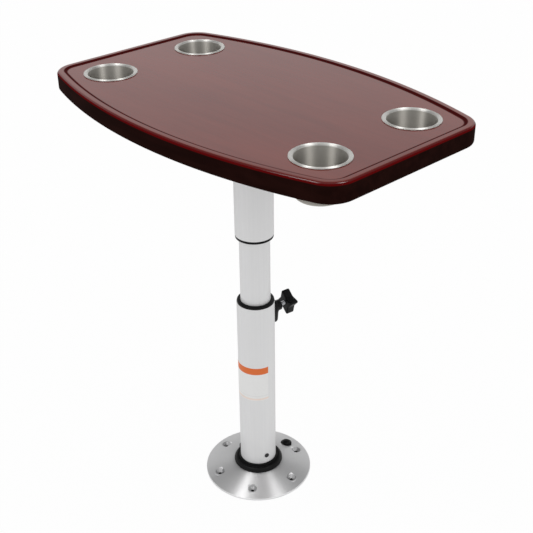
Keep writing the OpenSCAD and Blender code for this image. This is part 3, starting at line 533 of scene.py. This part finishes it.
def cupHolder(node):
    # Section up the outside, round the rolled rim and down the inside, revolved about the holder's axis
    low, high = corners(node)
    centre = ((low + high) / 2)[:2]
    flangeR, foot, rim = (high[0] - low[0]) / 2, low[2], high[2]
    g, bead, r = cup["gauge"], cup["bead"] / 2, cup["bottomRound"]
    lean = math.degrees(math.atan2(cup["taper"], rim - foot - r - cup["bend"]))
    bottom = (cup["mouth"] - cup["taper"] - r, foot + g + r)
    bend = (cup["mouth"] + cup["bend"], rim - cup["bend"])
    section = np.concatenate([
        [[0, foot]], arc(bottom, r + g, -90, -lean, 12), arc(bend, cup["bend"] - g, 180 - lean, 90, 8),
        arc((flangeR - bead, rim - bead), bead, -130, 90, 16), arc(bend, cup["bend"], 90, 180 - lean, 12),
        arc(bottom, r, -lean, -90, 12), [[0, foot + g]]])
    return revolve("drink_" + node, section, cup["steps"], centre, closed=False)


for name in holders:
    place(cupHolder(name), name)
print("drink holders ready:", len(holders))


# Clamp and pole share these places

clamp = {"bearing": 83, "drop": 0.029, "insertR": 0.0075, "insertHeadR": 0.010, "insertEnd": 0.0485,
         "studR": 0.004, "studStart": 0.03155, "nippleR": 0.0025, "nippleStart": 0.0292,
         "pitch": 0.00125, "threadDepth": 0.00045, "fit": 0.00005, "legCut": (0.025, 0.043),
         "collarCut": (0.021, 0.041), "insertStart": 0.028, "studCut": (0.040, 0.060)}
screws = {"first": -14, "height": 0.0487, "hole": 0.00235, "cut": (0.020, 0.040)}
clampHeight = corners("lower_tube")[1][2] - clamp["drop"]


def drill(r, low, high, angle, height, r2=None, steps=48):
    # A round cutter that points away from the pole
    return makeMesh("drill", outward(rod(low, high, r, r2=r2, steps=steps), angle, height))


# Pole

pole = {"legWall": 0.0025, "mastWall": 0.0022, "sleeveWall": 0.0022, "edge": 0.0004, "steps": 160}


def tube(name, node, wall):
    # A ring-shaped wall between a node's two ends, with its four edges rounded
    low, high = corners(node)
    r = (high[0] - low[0]) / 2
    section = [[r - wall, low[2]], [r, low[2]], [r, high[2]], [r - wall, high[2]]]
    return revolve(name, roundCorners(section, pole["edge"]), pole["steps"])


leg = tube("leg_tube", "lower_tube", pole["legWall"])
combine(leg, "DIFFERENCE",
        drill(clamp["insertR"] + 2 * clamp["fit"], *clamp["legCut"], clamp["bearing"], clampHeight),
        *[drill(screws["hole"], *screws["cut"], screws["first"] + 120 * i, screws["height"])
          for i in range(3)])
place(leg, "lower_tube")
place(tube("mast_tube", "middle_tube", pole["mastWall"]), "middle_tube")
place(tube("cover_sleeve", "upper_sleeve", pole["sleeveWall"]), "upper_sleeve")

collarForm = {"lip": 0.0045, "guideIn": 0.00255, "lipIn": 0.0005, "room": 0.0004, "round": 0.0006,
              "seatRound": 0.0002,
              "shoulder": ((0, 0.0022), (0.0006, 0.0009), (0.0016, 0.0003), (0.003, 0))}
ringForm = {"lip": 0.0048, "lipIn": 0.0004, "round": 0.0007}
mastR = corners("middle_tube")[1][0] + clamp["fit"]


def collar():
    # Guide inside the leg and a lip on top of it, with a rounded shoulder
    low, high = corners("collar")
    legR = corners("lower_tube")[1][0]
    seat, lipR = high[2] - collarForm["lip"], legR - collarForm["lipIn"]
    guideR = legR - collarForm["guideIn"]
    section = [[mastR, low[2]], [guideR, low[2]], [guideR, seat], [lipR, seat]]
    section += [[lipR - inward, high[2] - down] for inward, down in collarForm["shoulder"]]
    section.append([mastR, high[2]])
    reach = [collarForm["round"]] * 2 + [collarForm["seatRound"]] * 2 + [collarForm["round"]] * 5
    body = revolve("guide_collar", roundCorners(section, reach), 144)
    headR = clamp["insertHeadR"] + collarForm["room"]
    room = drill(headR, *clamp["collarCut"], clamp["bearing"], clampHeight)
    return combine(body, "DIFFERENCE", room)


def sleeveRing():
    # Spigot inside the sleeve and a thin lip under it
    low, high = corners("sleeve_ring")
    sleeveR = corners("upper_sleeve")[1][0]
    seat, lipR = low[2] + ringForm["lip"], sleeveR - ringForm["lipIn"]
    spigotR = sleeveR - pole["sleeveWall"] - clamp["fit"]
    section = [[mastR, low[2]], [lipR, low[2]], [lipR, seat], [spigotR, seat], [spigotR, high[2]],
               [mastR, high[2]]]
    return revolve("end_ring", roundCorners(section, ringForm["round"]), 144)


place(collar(), "collar")
place(sleeveRing(), "sleeve_ring")
print("pole ready")


# Clamp

saddle = {"headR": 0.015, "tail": 0.019, "tailR": 0.012, "wall": 0.010, "edge": 0.0042, "bossR": 0.00975,
          "bossEnd": 0.053, "bossEdge": 0.0010, "fillet": 0.0022}
knob = {"start": 0.0635, "depth": 0.016, "grip": 0.012, "tipR": 0.003, "acrossTips": 0.045,
        "waist": 0.027, "hollowR": 0.006, "armTurn": -18, "edge": 0.0022, "dish": 0.0012}


def teardropRing(inset):
    # A big arc round the stud and a small one round the tail's end, both moved inward
    lean = 90 - math.degrees(math.asin((saddle["headR"] - saddle["tailR"]) / saddle["tail"]))
    tail = arc((saddle["tail"], 0), saddle["tailR"] - inset, -lean, lean, 20)
    head = arc((0, 0), saddle["headR"] - inset, lean, 360 - lean, 56)
    return np.concatenate([tail, head])


def clampSaddle():
    # Plate: rings (down, side) wrapped on cylinders of radius p about the pole, out = sqrt(p^2 - side^2)
    legR = corners("lower_tube")[1][0]
    face, e = legR + saddle["wall"], saddle["edge"]
    shrink = np.linspace(1, 0, 13)
    rounding = arc((e, face - e), e, 180, 90, 8)
    rows = [(0.0, legR, k) for k in shrink[::-1]] + [(u, p, 1.0) for u, p in rounding] + \
        [(e, face, k) for k in shrink[1:]]
    grid = []
    for inset, p, k in rows:
        ring = teardropRing(inset) * k
        grid.append(np.column_stack([ring, np.sqrt(p ** 2 - ring[:, 1] ** 2)]))
    grid = np.stack(grid)
    plate = grid, gridFaces(len(rows), grid.shape[1], False, True)
    r, end, f, c = saddle["bossR"], saddle["bossEnd"], saddle["fillet"], saddle["bossEdge"]
    flare = arc((r + f, face + f - 0.0004), f, -90, -180, 8)
    outline = np.concatenate([[[0, legR + 0.003], [r + f, legR + 0.003]], flare,
                              arc((r - c, end - c), c, 0, 90, 6), [[0, end]]])
    body = makeMesh("clamp_body", outward(plate, clamp["bearing"], clampHeight))
    boss = makeMesh("boss", outward(turn(outline, 64, closed=False), clamp["bearing"], clampHeight))
    combine(body, "UNION", boss)
    fit = clamp["fit"]
    return combine(body, "DIFFERENCE",
                   drill(clamp["insertR"] + fit, clamp["insertStart"], clamp["insertEnd"] + fit,
                         clamp["bearing"], clampHeight),
                   drill(clamp["studR"] + 10 * fit, *clamp["studCut"], clamp["bearing"], clampHeight))


def clampStud():
    # Screw thread: radius R - d (0.5 + 0.5 cos(2 pi out / pitch - t)) at distance out and angle t
    r, start, end = clamp["studR"], clamp["studStart"], knob["start"] + knob["grip"]
    out = np.arange(start, end, clamp["pitch"] / 8)
    t = np.linspace(0, 2 * np.pi, 48, endpoint=False)
    fade = np.clip((out - start) / 0.0008, 0, 1)[:, None]
    groove = 0.5 + 0.5 * np.cos(2 * np.pi * out[:, None] / clamp["pitch"] - t)
    radius = r - 0.0008 * (1 - fade) - clamp["threadDepth"] * groove * fade
    nose = np.array([[0, clamp["nippleStart"]], [clamp["nippleR"], clamp["nippleStart"]],
                     [clamp["nippleR"], start]])
    radius = np.concatenate([nose[:, :1] + 0 * t, radius, [0 * t + r - 0.0004, 0 * t]])
    out = np.concatenate([nose[:, 1], out, [end, end]])
    grid = np.stack([radius * np.cos(t), radius * np.sin(t), out[:, None] + 0 * t], axis=-1)
    shell = grid, gridFaces(len(out), len(t), False, True)
    return makeMesh("threaded_stud", outward(shell, clamp["bearing"], clampHeight), sharpAngle=60)


def knobRing(inset):
    # Four round tips and four round hollows, on circles that meet without a corner
    tip, hollow = knob["tipR"], knob["hollowR"]
    reach, hollowReach = knob["acrossTips"] / 2 - tip, knob["waist"] / 2 + hollow
    apart = hollowReach * np.array([math.cos(math.pi / 4), math.sin(math.pi / 4)]) - (reach, 0)
    swing = math.degrees(math.atan2(apart[1], apart[0]) - math.acos((tip + hollow) / np.hypot(*apart)))
    ring = []
    for i in range(4):
        a = 90 * i + knob["armTurn"]
        b, ra, rb = a + 45, math.radians(a), math.radians(a + 45)
        ring.append(arc((reach * math.cos(ra), reach * math.sin(ra)), tip - inset, a - swing, a + swing, 12))
        ring.append(arc((hollowReach * math.cos(rb), hollowReach * math.sin(rb)), hollow + inset,
                        a + swing + 180, a - swing + 270, 12))
    return np.concatenate(ring)


def clampKnob():
    # Rows of (share of the outline, inset or radius, out): the bore, the rounded sides and a dished face
    start, end, e = knob["start"], knob["start"] + knob["depth"], knob["edge"]
    bore, bottom = clamp["studR"] + clamp["fit"], knob["start"] + knob["grip"] + clamp["fit"]
    back = arc((e, start + e), e, -90, -180, 7)
    front = arc((e, end - e), e, 180, 90, 7)
    full, inner = knobRing(0), knobRing(e)
    toward = inner / np.linalg.norm(inner, axis=1, keepdims=True)
    rows = [(0 * inner, bottom), (bore * toward, bottom), (bore * toward, start)]
    rows += [(bore * toward * (1 - k) + inner * k, start) for k in (0.35, 0.7)]
    rows += [(knobRing(u), out) for u, out in np.concatenate([back, front])]
    rows += [(inner * k, end - knob["dish"] * (1 - k) ** 0.5 * (k < 0.62)) for k in (0.8, 0.63, 0.6, 0.3, 0)]
    grid = np.stack([np.column_stack([ring, np.full(len(full), out)]) for ring, out in rows])
    shell = grid, gridFaces(len(rows), len(full), False, True)
    return makeMesh("four_arm_knob", outward(shell, clamp["bearing"], clampHeight), sharpAngle=40)


place(clampSaddle(), "clamp_saddle")
place(clampStud(), "clamp_stud")
place(clampKnob(), "clamp_knob")
print("clamp ready")


# Base

button = {"bearing": 88, "reach": 0.0735, "r": 0.0108, "gap": 0.0003, "rim": 0.0024, "dome": 0.0044,
          "step": 0.0006, "edge": 0.0008, "skirtIn": 0.00855, "skirtDrop": 0.0022, "roof": 0.0135,
          "slope": 0.276, "bladeWidth": 0.005,
          "blade": ((0.06575, 0.0036), (0.06975, 0.0036), (0.07535, 0.0092), (0.07535, 0.0138),
                    (0.07135, 0.0138), (0.07135, 0.0092))}
latch = {"boltWidth": 0.0086, "channelTop": 0.0064, "channelFoot": 0.0023, "channelFloor": 0.0008,
         "channelStart": 0.034, "screwX": 0.05285, "screwY": 0.008, "screwHole": 0.00125, "postR": 0.0035,
         "postFoot": 0.0075}


def dome(r):
    # Height at distance r: the rise less a share of the fall that grows as a power of the distance
    rise, flangeR = corners("base_flange")[1][2], corners("base_flange")[1][0]
    lipR = corners("base_bushing")[1][0]
    share = np.clip((r - lipR) / (flangeR - lipR), 0, None) ** base["power"]
    return rise - (rise - base["edgeHeight"]) * share


def boltPlaces():
    angles = np.radians(base["boltBearing"] + 360 / base["bolts"] * np.arange(base["bolts"]))
    return [(base["boltCircle"] * math.cos(a), base["boltCircle"] * math.sin(a)) for a in angles]


def onBearing(x, y=0.0):
    return tuple(bearing(np.array([x, y, 0.0]), button["bearing"])[:2])


def box(x, y, z):
    # Shell of a box given by its limits along the button's bearing, across it and up
    grid = np.array([[[x[i], y[j], z[k]] for i, j in ((0, 0), (1, 0), (1, 1), (0, 1))] for k in (0, 1)])
    ends = np.array([[3, 2, 1, 0], [4, 5, 6, 7]])
    return bearing(grid, button["bearing"]), np.concatenate([gridFaces(2, 4, False, True), ends])


def baseFlange():
    # Domed plate with a thin wall, a hub, a boss under each floor screw, and the holes through it
    flangeR, rise = corners("base_flange")[1][0], corners("base_flange")[1][2]
    hubR, footRim, e = base["socketR"] + base["hubWall"], flangeR - base["footRim"], base["rimRound"]
    top = np.linspace(flangeR - e * 0.7, corners("base_bushing")[1][0], 60)
    under = np.linspace(hubR, footRim, 40)
    section = np.concatenate([
        [[footRim, 0], [flangeR - base["footRound"], 0], [flangeR, base["footRound"]]],
        arc((flangeR - e, dome(flangeR) - e), e, 0, 55, 6), np.column_stack([top, dome(top)]),
        [[base["socketR"], rise], [base["socketR"], base["hubFoot"]], [hubR, base["hubFoot"]]],
        np.column_stack([under, dome(under) - base["wall"]])])
    flange = revolve("domed_flange", section, 192)
    at, sink, hole = float(dome(base["boltCircle"])), base["sinkR"], base["boltHole"]
    half, over = base["wall"] / 2, base["overcut"]
    joined = [makeMesh("boss", rod(0, at - half, sink + base["bossWall"], spot)) for spot in boltPlaces()]
    post = float(dome(latch["screwX"])) - half
    guides = [onBearing(latch["screwX"], s * latch["screwY"]) for s in (-1, 1)]
    joined += [makeMesh("post", rod(latch["postFoot"], post, latch["postR"], spot, steps=32))
               for spot in guides]
    combine(flange, "UNION", *joined)
    drills = [makeMesh("bore", rod(*base["drill"], hole, spot, steps=40)) for spot in boltPlaces()]
    drills += [makeMesh("sink", rod(at - (sink - hole), at + over, hole, spot, r2=sink + over))
               for spot in boltPlaces()]
    drills += [makeMesh("bore", rod(0, post - half, latch["screwHole"], spot, steps=24)) for spot in guides]
    drills.append(makeMesh("bore", rod(0, 0.03, button["r"] + button["gap"], onBearing(button["reach"]))))
    side = latch["boltWidth"] / 2
    drills.append(makeMesh("bore", box((latch["channelStart"], hubR + 0.001), (-side, side),
                                       (latch["channelFloor"], latch["channelTop"]))))
    return combine(flange, "DIFFERENCE", *drills)


bushing = {"floorR": 0.0255, "bodyR": 0.0420, "grooveR": 0.04045, "grooveFoot": 0.0005,
           "grooveTop": 0.0016, "rimR": 0.0366, "crownIn": 0.006, "crownRise": 0.0085, "grooveDip": 0.0008,
           "seat": 0.0013, "foot": 0.0004, "channel": (0.032, 0.054),
           "lipForm": ((0.0008, 0), (0, 0.001), (0, 0.002), (0.0007, 0.0038), (0.0022, 0.0062)),
           "crownForm": ((0.0016, -0.0006), (0, 0), (-0.0014, -0.0002)),
           "grooveForm": ((0.0016, 0), (0.0004, 0.0002), (0, 0.0008)),
           "rimForm": ((0.0002, 0.001), (0.0009, 0.0002))}


def baseBushing():
    # Section of the black socket: spigot with its ring groove, bulged lip, shallow groove and thin rim
    low, high = corners("base_bushing")
    b, top, lipR, rise = bushing, high[2], high[0], corners("base_flange")[1][2]
    inR = corners("lower_tube")[1][0] + clamp["fit"]
    crown, crownZ = lipR - b["crownIn"], rise + b["crownRise"]
    grooveZ = crownZ - b["grooveDip"]
    section = [[b["floorR"], b["foot"]], [b["bodyR"], b["foot"]], [b["bodyR"], b["grooveFoot"]],
               [b["grooveR"], b["grooveFoot"]], [b["grooveR"], b["grooveTop"]],
               [b["bodyR"], b["grooveTop"]], [b["bodyR"], rise]]
    section += [[lipR - inward, rise + up] for inward, up in b["lipForm"]]
    section += [[crown + out, crownZ + up] for out, up in b["crownForm"]]
    section += [[b["rimR"] + out, grooveZ + up] for out, up in b["grooveForm"]]
    section += [[b["rimR"] - inward, top - down] for inward, down in b["rimForm"]]
    section += [[inR + 0.0009, top], [inR, top - 0.0006], [inR, b["seat"]], [b["floorR"], b["seat"]]]
    reach = [0.0001] * 8 + [0.003] * 14 + [0.0001] * 2
    body = revolve("socket_bushing", roundCorners(section, reach), 160)
    half = latch["boltWidth"] / 2
    channel = box(b["channel"], (-half, half), (latch["channelFoot"], latch["channelTop"]))
    return combine(body, "DIFFERENCE", makeMesh("channel", channel))


def releaseButton():
    # Domed cap whose skirt ends on the flange's slope, and the slanted blade that moves the bolt
    top = corners("release_button")[1][2]
    r, crown, roof = button["r"], button["r"] - button["rim"], button["roof"]
    step, e = button["step"], button["edge"]
    shoulder = top - button["dome"] - step
    foot = float(dome(button["reach"])) - button["skirtDrop"]
    rounding = arc((r - e, shoulder - e), e, 0, 90, 5)
    a = np.radians(np.linspace(0, 90, 19))
    cap = np.stack([crown * np.cos(a), shoulder + step + button["dome"] * np.sin(a)], axis=1)
    section = np.concatenate([[[0, roof], [button["skirtIn"], roof], [button["skirtIn"], foot], [r, foot]],
                              rounding, cap])
    grid, faces = turn(section, 96, closed=False)
    slanted = grid[2:4, :, 2] - button["slope"] * grid[2:4, :, 0]
    grid[2:4, :, 2] = np.minimum(slanted, shoulder - e - 0.0001)
    grid[2, :, 2] = np.minimum(grid[2, :, 2], roof - 0.0001)
    grid[..., 0] += button["reach"]
    half = button["bladeWidth"] / 2
    side = np.array(button["blade"])
    prism = np.stack([np.column_stack([side[:, 0], np.full(6, y), side[:, 1]]) for y in (-half, half)])
    ends = [[5, 4, 3, 2, 1, 0], [6, 7, 8, 9, 10, 11]]
    blade = bearing(prism, button["bearing"]), list(gridFaces(2, 6, False, True)) + ends
    return makeMesh("push_button", (bearing(grid, button["bearing"]), faces), blade)


spring = {"r": 0.007, "wire": 0.00045, "turns": 3, "perTurn": 40, "sides": 12, "press": 0.003}


def buttonSpring():
    # Helix of radius r with a round wire: (r + w cos b) at angle a, and w sin b added to its height
    low, high = corners("button_spring")
    w, count = spring["wire"], int(spring["turns"] * spring["perTurn"])
    a = (2 * np.pi * np.arange(count + 1) / spring["perTurn"])[:, None]
    b = 2 * np.pi * np.arange(spring["sides"]) / spring["sides"]
    climb = np.linspace(low[2] + w, high[2] - w, count + 1)[:, None]
    thick = np.full((count + 1, 1), w)
    a, climb, thick = (np.concatenate([k[:1], k, k[-1:]]) for k in (a, climb, thick))
    thick[0] = thick[-1] = 0
    r = spring["r"] + thick * np.cos(b)
    grid = np.stack([r * np.cos(a) + button["reach"], r * np.sin(a), climb + thick * np.sin(b)], axis=-1)
    faces = gridFaces(len(a), spring["sides"], False, True)
    return makeMesh("coil_spring", (bearing(grid, button["bearing"]), faces), sharpAngle=60)


place(baseFlange(), "base_flange")
place(baseBushing(), "base_bushing")
place(releaseButton(), "release_button")
# The coil hangs from the button's roof
coil = place(buttonSpring(), "button_spring")
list(onBearing(button["reach"]))
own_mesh(coil)
print("base ready")


# Stage, lights and camera

studio = {"floor": 12.0, "floorColour": (0.86, 0.86, 0.86), "selfLit": 0.96, "worldLight": 0.92,
          "horizon": 1.0, "fallStart": 0.40, "fallEnd": 0.62, "frontBearing": -42, "frontLight": 0.95,
          "backLight": 0.25, "sideBearings": (18, -102), "sideReach": 1.1, "sideHeight": 2.5,
          "sideSize": 0.65, "sidePower": 13}
view = {"place": (1.093207, -0.990504, 1.300547), "yaw": 47.04, "pitch": -29.977, "roll": -0.648,
        "lens": 66.05}


def pathRays(wire, *names):
    # 1 for the rays of any of those kinds
    path = wire.node("LightPath", None, None).socket.node
    rays = [Wire(wire.tree, path.outputs[name]) for name in names]
    for ray in rays[1:]:
        rays[0] = wire.math("MAXIMUM", rays[0], ray)
    return rays[0]


def makeFloor():
    # A wide pale floor that keeps the object's shadow and otherwise shows as white
    half = studio["floor"]
    points = np.array([[-half, -half, 0], [half, -half, 0], [half, half, 0], [-half, half, 0]])
    mesh = bpy.data.meshes.new("floor")
    mesh.from_pydata((points - (0, 0, 0.0002)).tolist(), [], [[0, 1, 2, 3]])
    floor = bpy.data.objects.new("floor", mesh)
    scene.collection.objects.link(floor)
    material = bpy.data.materials.new("pale_floor")
    material.use_nodes = True
    wire = Wire(material.node_tree)
    shader = material.node_tree.nodes["Principled BSDF"]
    shader.inputs["Base Color"].default_value = (*studio["floorColour"], 1)
    shader.inputs["Roughness"].default_value = 0.9
    shader.inputs["Specular IOR Level"].default_value = 0.0
    glow = wire.node("Emission", None, {"Color": (1, 1, 1, 1), "Strength": 1.0})
    seen = pathRays(wire, "Is Camera Ray", "Is Glossy Ray", "Is Transmission Ray")
    mixed = wire.node("MixShader", None, {0: seen * studio["selfLit"],
                                          1: Wire(wire.tree, shader.outputs[0]), 2: glow})
    material.node_tree.links.new(mixed.socket, material.node_tree.nodes["Material Output"].inputs["Surface"])
    mesh.materials.append(material)


def makeWorld():
    # White behind the object and a plain soft light on it. In its gloss a room that is white up to one
    # height, and above it lighter on the front's side than behind.
    world = bpy.data.worlds.new("studio")
    scene.world = world
    world.use_nodes = True
    world.cycles.sampling_method = "NONE"
    wire = Wire(world.node_tree)
    direction = wire.node("TexCoord", None, None, out="Generated")
    split = wire.node("SeparateXYZ", None, {"Vector": direction})
    east, north, height = (Wire(wire.tree, split.socket.node.outputs[i]) for i in range(3))
    front = math.radians(studio["frontBearing"])
    toFront = (east * math.cos(front) + north * math.sin(front)).step(-0.5, 0.5)
    overhead = toFront * (studio["frontLight"] - studio["backLight"]) + studio["backLight"]
    high = height.step(studio["fallStart"], studio["fallEnd"])
    room = high * overhead + (1 - high) * studio["horizon"]
    behind = pathRays(wire, "Is Camera Ray", "Is Transmission Ray")
    gloss = pathRays(wire, "Is Glossy Ray")
    plain = 1 - wire.math("MAXIMUM", behind, gloss)
    strength = behind * 1.0 + gloss * room + plain * studio["worldLight"]
    back = world.node_tree.nodes["Background"]
    world.node_tree.links.new(strength.socket, back.inputs["Strength"])
    back.inputs["Color"].default_value = (1, 1, 1, 1)


def softLight(name, spot, aim, size, power):
    # A panel that only gloss shows, so that the plain level of light stays as it is
    light = bpy.data.lights.new(name, "AREA")
    light.shape, light.size, light.size_y, light.energy = "RECTANGLE", size[0], size[1], power
    lamp = bpy.data.objects.new(name, light)
    lamp.location = spot
    lamp.rotation_euler = (Vector(aim) - Vector(spot)).to_track_quat("-Z", "Y").to_euler()
    lamp.visible_camera = lamp.visible_diffuse = False
    scene.collection.objects.link(lamp)


def makeCamera():
    # Forward, right and up from yaw and pitch, then turned about the line of sight by the roll
    yaw, pitch, roll = (math.radians(view[k]) for k in ("yaw", "pitch", "roll"))
    forward = Vector((-math.sin(yaw) * math.cos(pitch), math.cos(yaw) * math.cos(pitch), math.sin(pitch)))
    level = Vector((math.cos(yaw), math.sin(yaw), 0))
    upright = level.cross(forward)
    right = math.cos(roll) * level + math.sin(roll) * upright
    up = math.cos(roll) * upright - math.sin(roll) * level
    data = bpy.data.cameras.new("photo_view")
    data.lens, data.sensor_width, data.clip_end = view["lens"], 36, 100
    camera = bpy.data.objects.new("photo_view", data)
    basis = Matrix((right, up, -forward)).transposed().to_4x4()
    camera.matrix_world = Matrix.Translation(Vector(view["place"])) @ basis
    scene.collection.objects.link(camera)
    scene.camera = camera


makeFloor()
makeWorld()
for side in studio["sideBearings"]:
    a = math.radians(side)
    spot = studio["sideReach"] * math.cos(a), studio["sideReach"] * math.sin(a), studio["sideHeight"]
    softLight("side_light", spot, (0, 0, 0.1), (studio["sideSize"],) * 2, studio["sidePower"])
makeCamera()
print("stage, lights and camera ready")
